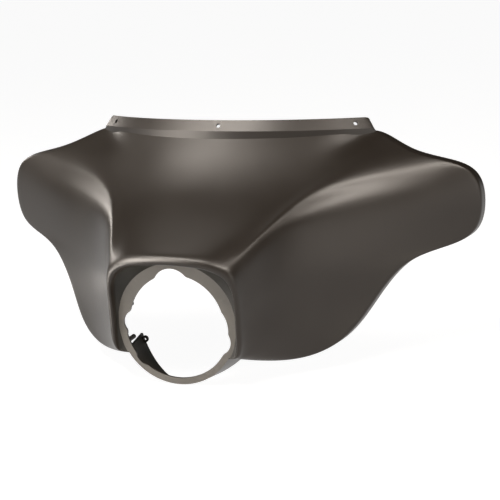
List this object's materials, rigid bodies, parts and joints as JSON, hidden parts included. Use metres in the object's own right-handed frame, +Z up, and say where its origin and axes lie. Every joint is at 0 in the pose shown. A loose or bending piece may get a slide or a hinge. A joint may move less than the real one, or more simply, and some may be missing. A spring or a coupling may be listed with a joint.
{
  "type": "motorcycle headlamp fairing",
  "caption": "One-piece moulded handlebar fairing shell with a round headlamp opening under a brow, wide swept wings and a top flange for a screen.",
  "frame": {"origin": "centre of the headlamp seat's flat front face", "axes": "-Y points forward out of the nose, +X to the right seen from the front, +Z up"},
  "size_m": [0.9076, 0.375, 0.4089],
  "materials": {
    "painted_plastic": "satin dark brown paint over moulded plastic"
  },
  "bodies": {
    "root": {"outer_shell": "painted_plastic"}
  },
  "joints": []
}
